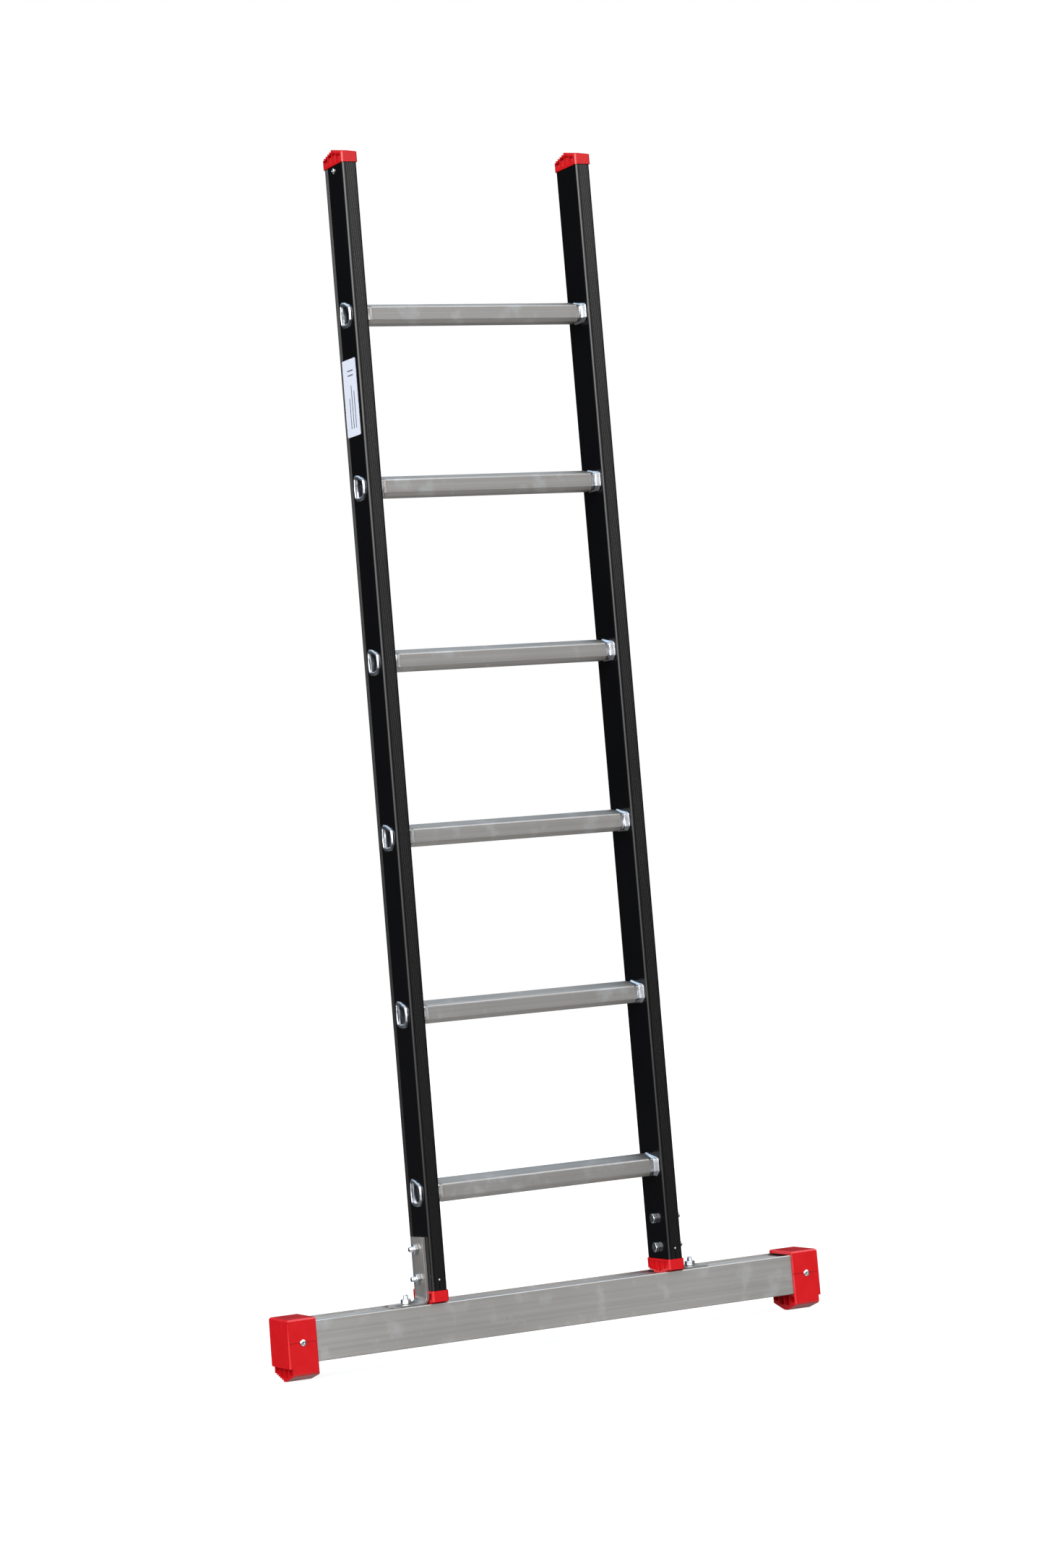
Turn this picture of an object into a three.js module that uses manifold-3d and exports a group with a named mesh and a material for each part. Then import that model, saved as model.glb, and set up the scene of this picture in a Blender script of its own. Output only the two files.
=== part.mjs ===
// Single ladder section with six tubular rungs and a bolted stabiliser bar.
//
// Millimetres, +Z up. The ladder stands upright: X runs across the ladder, the side that is climbed
// faces -Y, and the origin is on the ground in the middle of the ladder, under the stabiliser bar.

import * as THREE from 'three';
import { mergeVertices } from 'three/addons/utils/BufferGeometryUtils.js';
import Module from 'manifold-3d';

const wasm = await Module();
wasm.setup();

// ---------------------------------------------------------------- driving dimensions

const GAP = 0.3; // clearance between touching pieces

const LADDER_WIDTH = 398; // over the stiles' outer faces
const STILE_WIDTH = 22.5;
const STILE_DEPTH = 66;
const STILE_RADIUS = 3.5;
const STILE_SIDE_WALL = 1.6;
const STILE_EDGE_WALL = 2.2;
const STILE_BOTTOM = 99;
const STILE_TOP = 1701.5;

const RUNG_COUNT = 6;
const RUNG_PITCH = 250;
const FIRST_RUNG = 224.5; // height of the lowest rung's lower front edge
const RUNG_Y = -4.5; // the rungs sit a little towards the climbed side
const RUNG_DEPTH = 29;
const RUNG_WALL = 1.6;

const BAR_DEPTH = 62;
const BAR_TOP = 81.5;
const BAR_BOTTOM = 25;
const BAR_WALL = 2.5;
const BAR_HALF_LENGTH = 416;
const BAR_RADIUS = 1.5;
const LIP_WIDTH = 2.6; // the two lips along the bar's top
const LIP_HEIGHT = 3.2;

const FOOT_INNER = 378; // distance of the foot's open end from the middle
const FOOT_OUTER = 422.5;
const FOOT_DEPTH = 68;
const FOOT_TOP = 86.5;
const SOLE_EDGE = 9; // height of the sole's front and back edges
const SOLE_LAND = 4.5; // half the width of the flat that stands on the ground
const SOLE_INSET = 4.8;
const END_FACE_BOTTOM = 19.5;
const END_FACE_RADIUS = 6;

const CAP_PROUD = 1.4; // how far a cap stands out from its stile
const CAP_WALL = 15.2;
const CROWN_HEIGHT = 8.4;
const CROWN_LAND = 1.5; // half the width of the flat along the crown's ridge
const SKIRT_LENGTH = 30;
const SKIRT_WALL = 2.5;

const BRACKET_WIDTH = 40;
const BRACKET_THICKNESS = 4.2;
const BRACKET_TOP = 173;
const BRACKET_REACH = 47; // from the stile's outer face to the end of the bracket's foot
const BRACKET_BEND = 13; // outer radius of the bend

const BOLT_RADIUS = 4;
const HOLE_RADIUS = 4.4;
const HEX_FLATS = 13;
const HEAD_HEIGHT = 5.3;
const NUT_HEIGHT = 6.5;
const STILE_BOLT_HEIGHTS = { lower: 115.5, upper: 157 };
const BAR_BOLT_X = 226.8;

const LABEL_HEIGHT = 111;
const LABEL_WIDTH = 46;
const LABEL_CENTRE = 1365;

// ---------------------------------------------------------------- worked out from them

const STILE_OUTER = LADDER_WIDTH / 2;
const STILE_INNER = STILE_OUTER - STILE_WIDTH;
const STILE_CENTRE = STILE_OUTER - STILE_WIDTH / 2;
const CHANNEL_FLOOR = BAR_TOP - LIP_HEIGHT;
const BRACKET_FOOT_TOP = CHANNEL_FLOOR + GAP + BRACKET_THICKNESS;
const FOOT_CENTRE = (FOOT_INNER + FOOT_OUTER) / 2;
const SIDES = { left: -1, right: 1 };

// ---------------------------------------------------------------- materials

const finish = (color, roughness, metalness) =>
  new THREE.MeshStandardMaterial({ color, roughness, metalness });

const BLACK_COAT = finish(0x1c1c1e, 0.35, 0.6);
const MILL_ALUMINIUM = finish(0xb3b0ab, 0.4, 0.9);
const RED_PLASTIC = finish(0xcf1420, 0.45, 0);
const ZINC = finish(0xc9ced6, 0.25, 1);
const LABEL_FILM = finish(0xe6e6e4, 0.5, 0);

// ---------------------------------------------------------------- solid tools

// A closed three.js geometry as a solid that can be cut and joined.
function solid(geometry) {
  const bare = geometry.clone();
  bare.deleteAttribute('normal');
  bare.deleteAttribute('uv');
  const merged = mergeVertices(bare, 1e-4);
  const corners = merged.index.array;
  const triangles = [];
  for (let i = 0; i < corners.length; i += 3) {
    const [a, b, c] = corners.slice(i, i + 3);
    if (a !== b && b !== c && c !== a) triangles.push(a, b, c); // merging leaves some with no area
  }
  return new wasm.Manifold(
    new wasm.Mesh({
      numProp: 3,
      vertProperties: new Float32Array(merged.attributes.position.array),
      triVerts: new Uint32Array(triangles),
    }),
  );
}

// The solid's faces as a three.js geometry.
function toGeometry(body) {
  const faces = body.getMesh();
  const geometry = new THREE.BufferGeometry();
  geometry.setAttribute('position', new THREE.BufferAttribute(faces.vertProperties, 3));
  geometry.setIndex(new THREE.BufferAttribute(faces.triVerts, 1));
  return geometry;
}

const AXES = {
  // Columns are where an outline's own x and y and the extrusion's direction go.
  x: new THREE.Matrix4().set(0, 0, 1, 0, 1, 0, 0, 0, 0, 1, 0, 0, 0, 0, 0, 1),
  y: new THREE.Matrix4().set(1, 0, 0, 0, 0, 0, -1, 0, 0, 1, 0, 0, 0, 0, 0, 1),
  z: new THREE.Matrix4(),
};

// An outline extruded from one station to another along an axis. Along z it is drawn in X and Y,
// along x in Y and Z, and along y in X and Z.
function prism(shape, axis, from, to, arcSteps = 4) {
  const geometry = new THREE.ExtrudeGeometry(shape, {
    depth: to - from,
    bevelEnabled: false,
    curveSegments: arcSteps,
  });
  // The y matrix turns the extrusion towards -Y, so it starts at the far station.
  geometry.translate(0, 0, axis === 'y' ? -to : from);
  geometry.applyMatrix4(AXES[axis]);
  return solid(geometry);
}

function rectangle(x0, y0, x1, y1, radius = 0) {
  const shape = new THREE.Shape();
  if (radius === 0) {
    shape.moveTo(x0, y0);
    shape.lineTo(x1, y0);
    shape.lineTo(x1, y1);
    shape.lineTo(x0, y1);
    shape.closePath();
    return shape;
  }
  const quarter = Math.PI / 2;
  shape.moveTo(x0 + radius, y0);
  shape.lineTo(x1 - radius, y0);
  shape.absarc(x1 - radius, y0 + radius, radius, -quarter, 0, false);
  shape.lineTo(x1, y1 - radius);
  shape.absarc(x1 - radius, y1 - radius, radius, 0, quarter, false);
  shape.lineTo(x0 + radius, y1);
  shape.absarc(x0 + radius, y1 - radius, radius, quarter, 2 * quarter, false);
  shape.lineTo(x0, y0 + radius);
  shape.absarc(x0 + radius, y0 + radius, radius, 2 * quarter, 3 * quarter, false);
  shape.closePath();
  return shape;
}

function polygon(points) {
  return new THREE.Shape(points.map(([x, y]) => new THREE.Vector2(x, y)));
}

// A box between two corners.
function box([x0, y0, z0], [x1, y1, z1]) {
  return prism(rectangle(x0, y0, x1, y1), 'z', z0, z1);
}

// A cylinder between two stations of an axis; centre gives its other two coordinates in order.
function rod(axis, centre, radius, from, to, sides = 12) {
  const geometry = new THREE.CylinderGeometry(radius, radius, to - from, sides);
  const middle = (from + to) / 2;
  if (axis === 'x') {
    geometry.rotateZ(-Math.PI / 2);
    geometry.translate(middle, centre[0], centre[1]);
  } else if (axis === 'y') {
    geometry.translate(centre[0], middle, centre[1]);
  } else {
    geometry.rotateX(Math.PI / 2);
    geometry.translate(centre[0], centre[1], middle);
  }
  return solid(geometry);
}

// A shape turned about the z axis from a profile of radius and height, which closes on itself.
function turned(profile, sides = 12) {
  const points = profile.map(([radius, height]) => new THREE.Vector2(radius, height));
  points.push(points[0].clone());
  const geometry = new THREE.LatheGeometry(points, sides);
  geometry.rotateX(Math.PI / 2);
  return solid(geometry);
}

// ---------------------------------------------------------------- the scene graph

const ladder = new THREE.Group();

function add(name, body, material) {
  const mesh = new THREE.Mesh(toGeometry(body), material);
  mesh.name = name;
  ladder.add(mesh);
}

// ---------------------------------------------------------------- rungs

// A convex outline in Y and Z with rounded corners, which can be grown or shrunk by an offset.
// Corners run anticlockwise, each as [y, z, radius, arc steps].
function roundedOutline(corners) {
  const count = corners.length;
  const arcs = corners.map(([y, z, radius, steps], i) => {
    const here = new THREE.Vector2(y, z);
    const before = new THREE.Vector2(...corners[(i + count - 1) % count].slice(0, 2));
    const after = new THREE.Vector2(...corners[(i + 1) % count].slice(0, 2));
    const arriving = here.clone().sub(before).normalize();
    const leaving = after.clone().sub(here).normalize();
    const start = Math.atan2(-arriving.x, arriving.y);
    let turn = Math.atan2(-leaving.x, leaving.y) - start;
    if (turn < 0) turn += 2 * Math.PI;
    const inward = leaving.clone().sub(arriving).normalize();
    const centre = here.clone().addScaledVector(inward, radius / Math.cos(turn / 2));
    return { centre, radius, start, turn, steps };
  });
  return (offset) =>
    arcs.flatMap(({ centre, radius, start, turn, steps }) =>
      Array.from({ length: steps + 1 }, (_, i) => {
        const angle = start + (turn * i) / steps;
        const reach = radius + offset;
        return [centre.x + reach * Math.cos(angle), centre.y + reach * Math.sin(angle)];
      }),
    );
}

const RUNG_SECTION = (() => {
  const front = RUNG_Y - RUNG_DEPTH / 2;
  const back = RUNG_Y + RUNG_DEPTH / 2;
  const bottom = -5.4;
  const treadFront = 19.7; // the tread slopes, so that it is level when the ladder leans
  const treadBack = 27.4;
  return roundedOutline([
    [front, 0.2, 2, 1],
    [front + 4.6, bottom, 2, 1],
    [back, bottom, 3, 2],
    [back, treadBack, 2.6, 2],
    [front, treadFront, 3.2, 2],
  ]);
})();

// The tube's wall as stations along the rung: how far out, how far the surface swells there, and
// how much further its front bulges. It is pinched and flared against the stile's inner face and
// rolled over at its outer face.
const RUNG_OUTSIDE = [
  [STILE_INNER - 14, 0],
  [STILE_INNER - 8, -0.8],
  [STILE_INNER - 4.5, -1.3, 0.6],
  [STILE_INNER - 2.6, 0, 3],
  [STILE_INNER - 1.1, 0.9, 6.6],
  [STILE_INNER - GAP, 0.7, 6.8],
  [STILE_INNER - GAP, 0],
  [STILE_OUTER + GAP, 0],
  [STILE_OUTER + GAP, 3.5],
  [STILE_OUTER + 1.3, 4.1],
  [STILE_OUTER + 2.5, 3.3],
  [STILE_OUTER + 3.1, 1.5],
];
const RUNG_INSIDE = [
  [STILE_OUTER + 2.5, -0.2],
  [STILE_OUTER + 1, -1.2],
  [STILE_OUTER - 2, -RUNG_WALL],
];

// A wall profile swept round the rung's section, as one closed tube with open ends.
function sweptTube(section, profile) {
  const half = RUNG_DEPTH / 2;
  const backShare = 0.3; // how much of the front's bulge the back has
  const rings = profile.map(([x, offset, bulge = 0]) =>
    section(offset).map(([y, z]) => {
      const share = y < RUNG_Y ? 1 : backShare;
      return [x, y + (bulge * share * (y - RUNG_Y)) / half, z];
    }),
  );
  const across = rings[0].length;
  const positions = rings.flat(2);
  const index = [];
  for (let ring = 0; ring < rings.length; ring += 1) {
    const next = (ring + 1) % rings.length;
    for (let i = 0; i < across; i += 1) {
      const j = (i + 1) % across;
      const [a, b] = [ring * across + i, ring * across + j];
      const [c, d] = [next * across + j, next * across + i];
      index.push(a, b, c, a, c, d);
    }
  }
  const geometry = new THREE.BufferGeometry();
  geometry.setAttribute('position', new THREE.Float32BufferAttribute(positions, 3));
  geometry.setIndex(index);
  return solid(geometry);
}

function rungTube() {
  const mirrored = (stations) => stations.map(([x, ...swell]) => [-x, ...swell]).reverse();
  return sweptTube(RUNG_SECTION, [
    ...mirrored(RUNG_OUTSIDE),
    ...RUNG_OUTSIDE,
    ...RUNG_INSIDE,
    ...mirrored(RUNG_INSIDE),
  ]);
}

function rungHeights() {
  return Array.from({ length: RUNG_COUNT }, (_, i) => FIRST_RUNG + i * RUNG_PITCH);
}

// ---------------------------------------------------------------- stiles

// One ribbed edge of the stile, from left to right: a smooth strip, a groove, fine ribs and back.
function ribbedEdge() {
  const strip = 1;
  const groove = 1;
  const crest = 1;
  const valley = 0.75;
  const grooveDepth = 0.7;
  const valleyDepth = 0.4;
  const half = STILE_WIDTH / 2 - STILE_RADIUS;
  const points = [];
  const dip = (x0, x1, depth) => points.push([x0, 0], [x0, depth], [x1, depth], [x1, 0]);
  const ribStart = -half + strip + groove;
  dip(ribStart - groove, ribStart, grooveDepth);
  const valleys = Math.floor((-2 * ribStart - crest) / (crest + valley));
  const margin = (-2 * ribStart - valleys * (crest + valley) - crest) / 2;
  for (let i = 0; i < valleys; i += 1) {
    const x = ribStart + margin + crest + i * (crest + valley);
    dip(x, x + valley, valleyDepth);
  }
  dip(-ribStart, -ribStart + groove, grooveDepth);
  return points;
}

// Five fine grooves near the back edge of the stile's outer side, as Y and depth, from front to back.
function outerBand() {
  const first = 20.2;
  const pitch = 1.8;
  const width = 0.9;
  const depth = 0.4;
  const points = [];
  for (let i = 0; i < 5; i += 1) {
    const y = first + i * pitch;
    points.push([y, 0], [y, depth], [y + width, depth], [y + width, 0]);
  }
  return points;
}

// The section of the right-hand stile, whose outer side faces +X.
function stileSection() {
  const halfWidth = STILE_WIDTH / 2;
  const halfDepth = STILE_DEPTH / 2;
  const r = STILE_RADIUS;
  const quarter = Math.PI / 2;
  const ribs = ribbedEdge();
  const shape = new THREE.Shape();
  shape.moveTo(-halfWidth + r, -halfDepth);
  ribs.forEach(([x, depth]) => shape.lineTo(x, -halfDepth + depth));
  shape.lineTo(halfWidth - r, -halfDepth);
  shape.absarc(halfWidth - r, -halfDepth + r, r, -quarter, 0, false);
  outerBand().forEach(([y, depth]) => shape.lineTo(halfWidth - depth, y));
  shape.lineTo(halfWidth, halfDepth - r);
  shape.absarc(halfWidth - r, halfDepth - r, r, 0, quarter, false);
  ribs.forEach(([x, depth]) => shape.lineTo(-x, halfDepth - depth));
  shape.lineTo(-halfWidth + r, halfDepth);
  shape.absarc(-halfWidth + r, halfDepth - r, r, quarter, 2 * quarter, false);
  shape.lineTo(-halfWidth, -halfDepth + r);
  shape.absarc(-halfWidth + r, -halfDepth + r, r, 2 * quarter, 3 * quarter, false);
  return shape;
}

function stileHollow(shrink = 0) {
  const x = STILE_WIDTH / 2 - STILE_SIDE_WALL - shrink;
  const y = STILE_DEPTH / 2 - STILE_EDGE_WALL - shrink;
  return rectangle(-x, -y, x, y, 2);
}

// The stile is drawn about its own middle line, with its outer side towards -x or +x.
function stile(side) {
  const reach = STILE_WIDTH;
  let body = prism(stileSection(), 'z', STILE_BOTTOM, STILE_TOP, 6);
  if (side < 0) body = body.mirror([1, 0, 0]);
  body = body.subtract(prism(stileHollow(), 'z', STILE_BOTTOM - 1, STILE_TOP + 1));
  for (const height of rungHeights()) {
    const outline = polygon(RUNG_SECTION(GAP).map(([y, z]) => [y, z + height]));
    body = body.subtract(prism(outline, 'x', -reach, reach));
  }
  for (const height of Object.values(STILE_BOLT_HEIGHTS)) {
    body = body.subtract(rod('x', [0, height], HOLE_RADIUS, -reach, reach));
  }
  body = body.subtract(topRivetHole(side));
  body = body.subtract(frontRivetHole());
  return body.translate([side * STILE_CENTRE, 0, 0]);
}

// ---------------------------------------------------------------- end caps

const TOP_RIVET_HEIGHT = STILE_TOP - 7;
const FRONT_RIVET_HEIGHT = STILE_BOTTOM + 15;
const TOP_RIVET = { shank: 2.2, head: 4.2, height: 1.8 };
const FRONT_RIVET = { shank: 1, head: 1.6, height: 0.5 };

// Holes for the rivets that hold the caps, in the stile's own frame.
function topRivetHole(side) {
  const outer = side * (STILE_WIDTH / 2 + 1);
  const inner = side * (STILE_WIDTH / 2 - STILE_SIDE_WALL - SKIRT_WALL - 1);
  const radius = TOP_RIVET.shank + GAP;
  return rod('x', [0, TOP_RIVET_HEIGHT], radius, Math.min(outer, inner), Math.max(outer, inner), 12);
}

function frontRivetHole() {
  const outer = -STILE_DEPTH / 2 - 1;
  const inner = -STILE_DEPTH / 2 + STILE_EDGE_WALL + SKIRT_WALL + 1;
  return rod('y', [0, FRONT_RIVET_HEIGHT], FRONT_RIVET.shank + GAP, outer, inner, 10);
}

const TEETH = 5;
const TOOTH_RISE = 2.9;

// The half profile of a serrated, gabled crown, from its middle to its edge, as [distance, drop].
function crownSteps(halfDepth, height, rise, land) {
  const pitch = (halfDepth - land) / TEETH;
  const lift = rise - height / TEETH;
  const points = [];
  let drop = 0;
  for (let tooth = 0; tooth < TEETH; tooth += 1) {
    const y = land + tooth * pitch;
    points.push([y, drop], [y, drop + rise]);
    drop += rise - lift;
  }
  points.push([halfDepth, height]);
  return points;
}

// The same profile on both sides of the middle, as Y and drop, from -Y to +Y.
function crownProfile(halfDepth, height, rise, land) {
  const half = crownSteps(halfDepth, height, rise, land);
  const mirrored = half.map(([y, drop]) => [-y, drop]).reverse();
  return [...mirrored, ...half];
}

// A cap with its rim at height 0 and its crown upwards: a block with a serrated crown, pockets in
// both sides and a hollow skirt that fills the end of the stile.
function capBody() {
  const halfWidth = STILE_WIDTH / 2 + CAP_PROUD;
  const halfDepth = STILE_DEPTH / 2 + CAP_PROUD;
  const apex = CAP_WALL + CROWN_HEIGHT;
  const steps = crownProfile(halfDepth, CROWN_HEIGHT, TOOTH_RISE, CROWN_LAND);
  const crown = steps.map(([y, drop]) => [y, apex - drop]);
  const sideView = polygon([[-halfDepth, GAP], [halfDepth, GAP], ...crown.reverse()]);
  const planView = rectangle(-halfWidth, -halfDepth, halfWidth, halfDepth, STILE_RADIUS);
  let body = prism(sideView, 'x', -halfWidth, halfWidth);
  body = body.intersect(prism(planView, 'z', 0, apex + 1));
  body = body.subtract(capPockets(halfWidth));
  const skirt = prism(stileHollow(GAP), 'z', -SKIRT_LENGTH, GAP + 1);
  const inside = prism(stileHollow(GAP + SKIRT_WALL), 'z', -SKIRT_LENGTH - 1, GAP - 1);
  return body.add(skirt.subtract(inside));
}

// Four tall recesses in each side of the cap, whose roofs follow the crown.
function capPockets(halfWidth) {
  const count = 4;
  const web = 1.8;
  const post = 4.2;
  const rim = 3.6;
  const roof = 4.6;
  const depth = 3.4;
  const halfSpan = STILE_DEPTH / 2 + CAP_PROUD - post;
  const width = (2 * halfSpan - (count - 1) * web) / count;
  const slope = CROWN_HEIGHT / (STILE_DEPTH / 2 + CAP_PROUD);
  const ceiling = (y) => CAP_WALL + CROWN_HEIGHT - Math.abs(y) * slope - roof;
  const pockets = [];
  for (let i = 0; i < count; i += 1) {
    const y0 = -halfSpan + i * (width + web);
    const y1 = y0 + width;
    const outline = polygon([[y0, rim], [y1, rim], [y1, ceiling(y1)], [y0, ceiling(y0)]]);
    pockets.push(prism(outline, 'x', halfWidth - depth, halfWidth + 1));
    pockets.push(prism(outline, 'x', -halfWidth - 1, -halfWidth + depth));
  }
  return wasm.Manifold.union(pockets);
}

function topCap(side) {
  const body = capBody().translate([0, 0, STILE_TOP]);
  return body.subtract(topRivetHole(side)).translate([side * STILE_CENTRE, 0, 0]);
}

// The same cap upside down. Its crown is pressed flat on the bar, and its outer side and skirt
// leave room for the bracket and its lower bolt.
function bottomCap(side) {
  const bolt = STILE_BOLT_HEIGHTS.lower;
  const face = STILE_WIDTH / 2 - GAP;
  const flat = CHANNEL_FLOOR + GAP;
  const clear = STILE_DEPTH; // past the cap in every direction
  let body = capBody().rotate([180, 0, 0]).translate([0, 0, STILE_BOTTOM]);
  body = body.subtract(box([-clear, -clear, flat - clear], [clear, clear, flat]));
  const halfWidth = BRACKET_WIDTH / 2 + GAP;
  const [x0, x1] = side > 0 ? [face, clear] : [-clear, -face];
  body = body.subtract(box([x0, -halfWidth, flat - 1], [x1, halfWidth, STILE_BOTTOM + 1]));
  body = body.subtract(rod('x', [0, bolt], HOLE_RADIUS, -STILE_WIDTH, STILE_WIDTH));
  body = body.subtract(frontRivetHole());
  return body.translate([side * STILE_CENTRE, 0, 0]);
}

// A blind rivet along +z with its head's underside at height 0.
function rivet({ shank, head, height }, length, sides = 12) {
  return turned(
    [
      [0, -length],
      [shank, -length],
      [shank, 0],
      [head, 0],
      [head * 0.94, height * 0.45],
      [head * 0.6, height * 0.9],
      [0, height],
    ],
    sides,
  );
}

function topCapRivet(side) {
  const body = rivet(TOP_RIVET, STILE_SIDE_WALL + SKIRT_WALL).rotate([0, side * 90, 0]);
  return body.translate([side * (STILE_OUTER + GAP), 0, TOP_RIVET_HEIGHT]);
}

function frontRivet(side) {
  const body = rivet(FRONT_RIVET, STILE_EDGE_WALL + SKIRT_WALL, 10).rotate([90, 0, 0]);
  return body.translate([side * STILE_CENTRE, -STILE_DEPTH / 2 - GAP, FRONT_RIVET_HEIGHT]);
}

// ---------------------------------------------------------------- stabiliser bar

// A hollow extrusion with a shallow channel along its top, between two lips.
function stabiliserBar() {
  const half = BAR_DEPTH / 2;
  const outer = rectangle(-half, BAR_BOTTOM, half, BAR_TOP, BAR_RADIUS);
  const channel = rectangle(-half + LIP_WIDTH, CHANNEL_FLOOR, half - LIP_WIDTH, BAR_TOP + 1);
  const hollow = rectangle(
    -half + BAR_WALL,
    BAR_BOTTOM + BAR_WALL,
    half - BAR_WALL,
    CHANNEL_FLOOR - BAR_WALL,
    1,
  );
  let body = prism(outer, 'x', -BAR_HALF_LENGTH, BAR_HALF_LENGTH, 3);
  body = body.subtract(prism(channel, 'x', -BAR_HALF_LENGTH - 1, BAR_HALF_LENGTH + 1));
  body = body.subtract(prism(hollow, 'x', -BAR_HALF_LENGTH - 1, BAR_HALF_LENGTH + 1, 2));
  for (const side of Object.values(SIDES)) {
    const bolt = [side * BAR_BOLT_X, 0];
    body = body.subtract(rod('z', bolt, HOLE_RADIUS, CHANNEL_FLOOR - BAR_WALL - 1, BAR_TOP));
    const pin = [side * FOOT_CENTRE, FOOT_RIVET_HEIGHT];
    const wall = -half - 1;
    body = body.subtract(rod('y', pin, FOOT_RIVET.shank + GAP, wall, -half + BAR_WALL + 1, 12));
  }
  return body;
}

// ---------------------------------------------------------------- feet

const FOOT_RIVET_HEIGHT = 53.5;
const FOOT_RIVET = { shank: 2.4, head: 4.6, height: 1.6 };

// The foot's view from the front, for the right-hand side: upright block whose lower outer part
// steps in, with a large radius at the lower inner corner.
function footFrontView() {
  const sole = FOOT_OUTER - SOLE_INSET;
  const heel = 2; // how far the inner end draws back at the ground
  const shape = new THREE.Shape();
  shape.moveTo(FOOT_INNER + heel, -1);
  shape.lineTo(sole, -1);
  shape.lineTo(sole, END_FACE_BOTTOM);
  shape.lineTo(FOOT_OUTER, END_FACE_BOTTOM);
  shape.lineTo(FOOT_OUTER - 1.2, FOOT_TOP - 2.5);
  shape.lineTo(FOOT_OUTER - 3.4, FOOT_TOP);
  shape.lineTo(FOOT_INNER + 2, FOOT_TOP);
  shape.lineTo(FOOT_INNER, FOOT_TOP - 2);
  shape.lineTo(FOOT_INNER, SOLE_EDGE + 5);
  shape.quadraticCurveTo(FOOT_INNER, SOLE_EDGE - 1, FOOT_INNER + heel, -1);
  return shape;
}

// The foot's view from the end: tapered sides and rounded shoulders over a sole that points down.
function footEndView(sole) {
  const radius = 3.4;
  const side = FOOT_DEPTH / 2 - 0.8; // the sides lean in a little towards the top
  const steps = 4;
  const shoulder = Array.from({ length: steps + 1 }, (_, i) => {
    const angle = (Math.PI / 2) * (i / steps);
    return [side - radius + radius * Math.cos(angle), FOOT_TOP - radius + radius * Math.sin(angle)];
  });
  const mirrored = shoulder.map(([y, z]) => [-y, z]).reverse();
  return polygon([...sole, ...shoulder, ...mirrored]);
}

// The foot's block: plain below at the front and along a wall at its inner end, serrated behind.
function footBlock(half) {
  const wall = FOOT_INNER + 4;
  const slope = (y) => (SOLE_EDGE * (y - SOLE_LAND)) / (half - SOLE_LAND);
  const front = [
    [-half, SOLE_EDGE + 4],
    [-half + 0.5, SOLE_EDGE + 1.6],
    [-half + 1.9, SOLE_EDGE - 0.1],
    [-half + 4.4, slope(half - 4.4)],
    [-SOLE_LAND, 0],
  ];
  const teeth = crownSteps(half, SOLE_EDGE, SOLE_EDGE / TEETH + 1.1, SOLE_LAND);
  const plain = [[SOLE_LAND, 0], [half, SOLE_EDGE]];
  const inner = prism(footEndView([...front, ...plain]), 'x', FOOT_INNER, wall);
  return inner.add(prism(footEndView([...front, ...teeth]), 'x', wall - 0.5, FOOT_OUTER));
}

// Recesses in the outer and inner ends of the sole block, which leave upright ribs.
function solePockets() {
  const count = 4;
  const web = 2;
  const post = 4;
  const floor = 6;
  const halfSpan = FOOT_DEPTH / 2 - post;
  const width = (2 * halfSpan - (count - 1) * web) / count;
  const outerDepth = 6;
  const innerDepth = 22;
  const sole = FOOT_OUTER - SOLE_INSET;
  const pockets = [];
  for (let i = 0; i < count; i += 1) {
    const y0 = -halfSpan + i * (width + web);
    const lift = i === 0 || i === count - 1 ? SOLE_EDGE / 2 : 0;
    const low = floor + lift;
    pockets.push(box([sole - outerDepth, y0, low], [sole + 1, y0 + width, END_FACE_BOTTOM - 1.5]));
    pockets.push(box([FOOT_INNER - 1, y0, low + 2], [FOOT_INNER + innerDepth, y0 + width, 21]));
  }
  return wasm.Manifold.union(pockets);
}

// What the round lower corner at the back of the outer end plate leaves out.
function endPlateCorner(half) {
  const from = FOOT_OUTER - SOLE_INSET;
  const to = FOOT_OUTER + 1;
  const plate = rectangle(-half, END_FACE_BOTTOM, half, FOOT_TOP, END_FACE_RADIUS);
  const strip = box([from, 0, END_FACE_BOTTOM], [to, half + 1, END_FACE_BOTTOM + END_FACE_RADIUS]);
  return strip.subtract(prism(plate, 'x', from - 1, to + 1));
}

function footMould() {
  const half = FOOT_DEPTH / 2;
  const endWall = 5.5;
  const plan = rectangle(FOOT_INNER, -half, FOOT_OUTER, half, 3.4);
  let body = footBlock(half).intersect(prism(footFrontView(), 'y', -half - 1, half + 1, 5));
  body = body.intersect(prism(plan, 'z', -2, FOOT_TOP + 1));
  body = body.subtract(endPlateCorner(half));
  const socket = rectangle(
    -BAR_DEPTH / 2 - GAP,
    BAR_BOTTOM - GAP,
    BAR_DEPTH / 2 + GAP,
    BAR_TOP + GAP,
    BAR_RADIUS,
  );
  body = body.subtract(prism(socket, 'x', FOOT_INNER - 1, FOOT_OUTER - endWall, 3));
  body = body.subtract(solePockets());
  const seam = 0.9;
  const seamDepth = 1.6;
  for (const face of [-half, half]) {
    const low = [FOOT_INNER - 1, face - seamDepth, FOOT_RIVET_HEIGHT - seam];
    body = body.subtract(box(low, [FOOT_OUTER - 3, face + seamDepth, FOOT_RIVET_HEIGHT + seam]));
  }
  const pin = [FOOT_CENTRE, FOOT_RIVET_HEIGHT];
  body = body.subtract(rod('y', pin, FOOT_RIVET.shank + GAP, -half - 1, -BAR_DEPTH / 2 + 1, 12));
  return body;
}

function foot(side) {
  return side > 0 ? footMould() : footMould().mirror([1, 0, 0]);
}

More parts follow.
